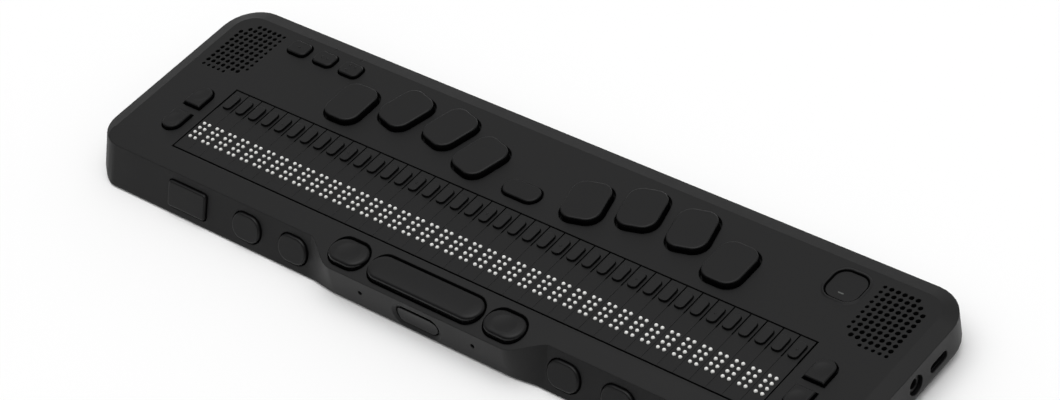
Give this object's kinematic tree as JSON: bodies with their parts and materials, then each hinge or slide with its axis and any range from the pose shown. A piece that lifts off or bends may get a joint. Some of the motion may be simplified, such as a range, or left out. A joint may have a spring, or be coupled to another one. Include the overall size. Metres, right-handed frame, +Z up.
{
  "type": "braille display",
  "caption": "Low casing with a strip of refreshable braille cells and routing keys, a chorded braille keyboard behind it, thumb and front keys, side sockets and speaker grilles.",
  "frame": {"origin": "on the table under the middle of the casing's width and depth", "axes": "+X to the right along the cell strip, +Y to the back, +Z up"},
  "size_m": [0.322, 0.091, 0.019],
  "materials": {
    "casing_plastic": "fine moulded texture, matt graphite",
    "base_plastic": "fine moulded texture, matt black",
    "cap_plastic": "smooth matt black",
    "module_plastic": "moulded off-white",
    "circuit_board": "green solder mask",
    "switch_plastic": "moulded grey",
    "battery_foil": "dull laminated foil",
    "speaker_black": "matt black frame",
    "socket_steel": "plated steel",
    "jack_plastic": "matt black",
    "mic_can": "plated can",
    "foot_rubber": "matt black rubber",
    "screw_steel": "zinc plated",
    "light_lens": "pale translucent lens",
    "key_plastic": "fine matt black",
    "front_key_plastic": "fine matt black",
    "routing_plastic": "smooth dark grey",
    "pin_plastic": "white, slightly glossy"
  },
  "bodies": {
    "casing": {"top_cover": "casing_plastic", "bottom_cover": "base_plastic", "cell_caps": "cap_plastic", "cell_modules": "module_plastic", "cell_backplane": "circuit_board", "key_board": "circuit_board", "main_board": "circuit_board", "thumb_front_boards": "circuit_board", "key_switches": "switch_plastic", "battery": "battery_foil", "speakers": "speaker_black", "usb_c_port": "socket_steel", "audio_jack": "jack_plastic", "microphones": "mic_can", "rubber_feet": "foot_rubber", "screws": "screw_steel"},
    "key_dot_7": {"key_dot_7": "key_plastic"},
    "key_dot_3": {"key_dot_3": "key_plastic"},
    "key_dot_2": {"key_dot_2": "key_plastic"},
    "key_dot_1": {"key_dot_1": "key_plastic"},
    "key_dot_4": {"key_dot_4": "key_plastic"},
    "key_dot_5": {"key_dot_5": "key_plastic"},
    "key_dot_6": {"key_dot_6": "key_plastic"},
    "key_dot_8": {"key_dot_8": "key_plastic"},
    "space_bar": {"space_bar": "key_plastic"},
    "thumb_key_left": {"thumb_key_left": "key_plastic"},
    "thumb_key_right": {"thumb_key_right": "key_plastic"},
    "scroll_key_left_back": {"scroll_key_left_back": "key_plastic"},
    "scroll_key_left_front": {"scroll_key_left_front": "key_plastic"},
    "scroll_key_right_back": {"scroll_key_right_back": "key_plastic"},
    "scroll_key_right_front": {"scroll_key_right_front": "key_plastic"},
    "menu_key": {"menu_key": "key_plastic"},
    "small_key_1": {"small_key_1": "key_plastic"},
    "small_key_2": {"small_key_2": "key_plastic"},
    "small_key_3": {"small_key_3": "key_plastic"},
    "power_button": {"power_button": "key_plastic", "power_light": "light_lens"},
    "front_key_outer_left": {"front_key_outer_left": "front_key_plastic"},
    "front_key_mid_left": {"front_key_mid_left": "front_key_plastic"},
    "front_key_inner_left": {"front_key_inner_left": "front_key_plastic"},
    "front_key_inner_right": {"front_key_inner_right": "front_key_plastic"},
    "front_key_mid_right": {"front_key_mid_right": "front_key_plastic"},
    "front_key_outer_right": {"front_key_outer_right": "front_key_plastic"},
    "front_slot_key": {"front_slot_key": "front_key_plastic"},
    "routing_keys_1": {"routing_keys_1": "routing_plastic"},
    "routing_keys_2": {"routing_keys_2": "routing_plastic"},
    "routing_keys_3": {"routing_keys_3": "routing_plastic"},
    "routing_keys_4": {"routing_keys_4": "routing_plastic"},
    "routing_keys_5": {"routing_keys_5": "routing_plastic"},
    "routing_keys_6": {"routing_keys_6": "routing_plastic"},
    "routing_keys_7": {"routing_keys_7": "routing_plastic"},
    "routing_keys_8": {"routing_keys_8": "routing_plastic"},
    "dot_pins_1": {"dot_pins_1": "pin_plastic"},
    "dot_pins_2": {"dot_pins_2": "pin_plastic"},
    "dot_pins_3": {"dot_pins_3": "pin_plastic"},
    "dot_pins_4": {"dot_pins_4": "pin_plastic"},
    "dot_pins_5": {"dot_pins_5": "pin_plastic"},
    "dot_pins_6": {"dot_pins_6": "pin_plastic"},
    "dot_pins_7": {"dot_pins_7": "pin_plastic"},
    "dot_pins_8": {"dot_pins_8": "pin_plastic"}
  },
  "joints": [
    {"name": "key_dot_7_press", "type": "slide", "parent": "casing", "child": "key_dot_7", "axis": [0, 0, -1], "range_m": [0, 0.0012], "stiffness_N_per_m": 300, "springref_m": -0.0003},
    {"name": "key_dot_3_press", "type": "slide", "parent": "casing", "child": "key_dot_3", "axis": [0, 0, -1], "range_m": [0, 0.0012], "stiffness_N_per_m": 300, "springref_m": -0.0003},
    {"name": "key_dot_2_press", "type": "slide", "parent": "casing", "child": "key_dot_2", "axis": [0, 0, -1], "range_m": [0, 0.0012], "stiffness_N_per_m": 300, "springref_m": -0.0003},
    {"name": "key_dot_1_press", "type": "slide", "parent": "casing", "child": "key_dot_1", "axis": [0, 0, -1], "range_m": [0, 0.0012], "stiffness_N_per_m": 300, "springref_m": -0.0003},
    {"name": "key_dot_4_press", "type": "slide", "parent": "casing", "child": "key_dot_4", "axis": [0, 0, -1], "range_m": [0, 0.0012], "stiffness_N_per_m": 300, "springref_m": -0.0003},
    {"name": "key_dot_5_press", "type": "slide", "parent": "casing", "child": "key_dot_5", "axis": [0, 0, -1], "range_m": [0, 0.0012], "stiffness_N_per_m": 300, "springref_m": -0.0003},
    {"name": "key_dot_6_press", "type": "slide", "parent": "casing", "child": "key_dot_6", "axis": [0, 0, -1], "range_m": [0, 0.0012], "stiffness_N_per_m": 300, "springref_m": -0.0003},
    {"name": "key_dot_8_press", "type": "slide", "parent": "casing", "child": "key_dot_8", "axis": [0, 0, -1], "range_m": [0, 0.0012], "stiffness_N_per_m": 300, "springref_m": -0.0003},
    {"name": "space_bar_press", "type": "slide", "parent": "casing", "child": "space_bar", "axis": [0, 0, -1], "range_m": [0, 0.0008], "stiffness_N_per_m": 500, "springref_m": -0.0003},
    {"name": "thumb_key_left_press", "type": "slide", "parent": "casing", "child": "thumb_key_left", "axis": [0, 0, -1], "range_m": [0, 0.0008], "stiffness_N_per_m": 400, "springref_m": -0.0003},
    {"name": "thumb_key_right_press", "type": "slide", "parent": "casing", "child": "thumb_key_right", "axis": [0, 0, -1], "range_m": [0, 0.0008], "stiffness_N_per_m": 400, "springref_m": -0.0003},
    {"name": "scroll_key_left_back_press", "type": "slide", "parent": "casing", "child": "scroll_key_left_back", "axis": [0, 0, -1], "range_m": [0, 0.0006], "stiffness_N_per_m": 400, "springref_m": -0.0003},
    {"name": "scroll_key_left_front_press", "type": "slide", "parent": "casing", "child": "scroll_key_left_front", "axis": [0, 0, -1], "range_m": [0, 0.0006], "stiffness_N_per_m": 400, "springref_m": -0.0003},
    {"name": "scroll_key_right_back_press", "type": "slide", "parent": "casing", "child": "scroll_key_right_back", "axis": [0, 0, -1], "range_m": [0, 0.0006], "stiffness_N_per_m": 400, "springref_m": -0.0003},
    {"name": "scroll_key_right_front_press", "type": "slide", "parent": "casing", "child": "scroll_key_right_front", "axis": [0, 0, -1], "range_m": [0, 0.0006], "stiffness_N_per_m": 400, "springref_m": -0.0003},
    {"name": "menu_key_press", "type": "slide", "parent": "casing", "child": "menu_key", "axis": [0, 0, -1], "range_m": [0, 0.0006], "stiffness_N_per_m": 400, "springref_m": -0.0003},
    {"name": "small_key_1_press", "type": "slide", "parent": "casing", "child": "small_key_1", "axis": [0, 0, -1], "range_m": [0, 0.0006], "stiffness_N_per_m": 400, "springref_m": -0.0003},
    {"name": "small_key_2_press", "type": "slide", "parent": "casing", "child": "small_key_2", "axis": [0, 0, -1], "range_m": [0, 0.0006], "stiffness_N_per_m": 400, "springref_m": -0.0003},
    {"name": "small_key_3_press", "type": "slide", "parent": "casing", "child": "small_key_3", "axis": [0, 0, -1], "range_m": [0, 0.0006], "stiffness_N_per_m": 400, "springref_m": -0.0003},
    {"name": "power_button_press", "type": "slide", "parent": "casing", "child": "power_button", "axis": [0, 0, -1], "range_m": [0, 0.0006], "stiffness_N_per_m": 400, "springref_m": -0.0003},
    {"name": "front_key_outer_left_press", "type": "slide", "parent": "casing", "child": "front_key_outer_left", "axis": [0, 0.9121, -0.4099], "range_m": [0, 0.0005], "stiffness_N_per_m": 500, "springref_m": -0.0003},
    {"name": "front_key_mid_left_press", "type": "slide", "parent": "casing", "child": "front_key_mid_left", "axis": [0, 0.9121, -0.4099], "range_m": [0, 0.0005], "stiffness_N_per_m": 500, "springref_m": -0.0003},
    {"name": "front_key_inner_left_press", "type": "slide", "parent": "casing", "child": "front_key_inner_left", "axis": [0, 0.9121, -0.4099], "range_m": [0, 0.0005], "stiffness_N_per_m": 500, "springref_m": -0.0003},
    {"name": "front_key_inner_right_press", "type": "slide", "parent": "casing", "child": "front_key_inner_right", "axis": [0, 0.9121, -0.4099], "range_m": [0, 0.0005], "stiffness_N_per_m": 500, "springref_m": -0.0003},
    {"name": "front_key_mid_right_press", "type": "slide", "parent": "casing", "child": "front_key_mid_right", "axis": [0, 0.9121, -0.4099], "range_m": [0, 0.0005], "stiffness_N_per_m": 500, "springref_m": -0.0003},
    {"name": "front_key_outer_right_press", "type": "slide", "parent": "casing", "child": "front_key_outer_right", "axis": [0, 0.9121, -0.4099], "range_m": [0, 0.0005], "stiffness_N_per_m": 500, "springref_m": -0.0003},
    {"name": "front_slot_key_press", "type": "slide", "parent": "casing", "child": "front_slot_key", "axis": [0, 1, 0], "range_m": [0, 0.0005], "stiffness_N_per_m": 500, "springref_m": -0.0003},
    {"name": "routing_keys_1_press", "type": "slide", "parent": "casing", "child": "routing_keys_1", "axis": [0, 0, -1], "range_m": [0, 0.0004], "stiffness_N_per_m": 600, "springref_m": -0.0003},
    {"name": "routing_keys_2_press", "type": "slide", "parent": "casing", "child": "routing_keys_2", "axis": [0, 0, -1], "range_m": [0, 0.0004], "stiffness_N_per_m": 600, "springref_m": -0.0003},
    {"name": "routing_keys_3_press", "type": "slide", "parent": "casing", "child": "routing_keys_3", "axis": [0, 0, -1], "range_m": [0, 0.0004], "stiffness_N_per_m": 600, "springref_m": -0.0003},
    {"name": "routing_keys_4_press", "type": "slide", "parent": "casing", "child": "routing_keys_4", "axis": [0, 0, -1], "range_m": [0, 0.0004], "stiffness_N_per_m": 600, "springref_m": -0.0003},
    {"name": "routing_keys_5_press", "type": "slide", "parent": "casing", "child": "routing_keys_5", "axis": [0, 0, -1], "range_m": [0, 0.0004], "stiffness_N_per_m": 600, "springref_m": -0.0003},
    {"name": "routing_keys_6_press", "type": "slide", "parent": "casing", "child": "routing_keys_6", "axis": [0, 0, -1], "range_m": [0, 0.0004], "stiffness_N_per_m": 600, "springref_m": -0.0003},
    {"name": "routing_keys_7_press", "type": "slide", "parent": "casing", "child": "routing_keys_7", "axis": [0, 0, -1], "range_m": [0, 0.0004], "stiffness_N_per_m": 600, "springref_m": -0.0003},
    {"name": "routing_keys_8_press", "type": "slide", "parent": "casing", "child": "routing_keys_8", "axis": [0, 0, -1], "range_m": [0, 0.0004], "stiffness_N_per_m": 600, "springref_m": -0.0003},
    {"name": "dot_pins_1_lift", "type": "slide", "parent": "casing", "child": "dot_pins_1", "axis": [0, 0, 1], "range_m": [-0.0007, 0]},
    {"name": "dot_pins_2_lift", "type": "slide", "parent": "casing", "child": "dot_pins_2", "axis": [0, 0, 1], "range_m": [-0.0007, 0]},
    {"name": "dot_pins_3_lift", "type": "slide", "parent": "casing", "child": "dot_pins_3", "axis": [0, 0, 1], "range_m": [-0.0007, 0]},
    {"name": "dot_pins_4_lift", "type": "slide", "parent": "casing", "child": "dot_pins_4", "axis": [0, 0, 1], "range_m": [-0.0007, 0]},
    {"name": "dot_pins_5_lift", "type": "slide", "parent": "casing", "child": "dot_pins_5", "axis": [0, 0, 1], "range_m": [-0.0007, 0]},
    {"name": "dot_pins_6_lift", "type": "slide", "parent": "casing", "child": "dot_pins_6", "axis": [0, 0, 1], "range_m": [-0.0007, 0]},
    {"name": "dot_pins_7_lift", "type": "slide", "parent": "casing", "child": "dot_pins_7", "axis": [0, 0, 1], "range_m": [-0.0007, 0]},
    {"name": "dot_pins_8_lift", "type": "slide", "parent": "casing", "child": "dot_pins_8", "axis": [0, 0, 1], "range_m": [-0.0007, 0]}
  ]
}
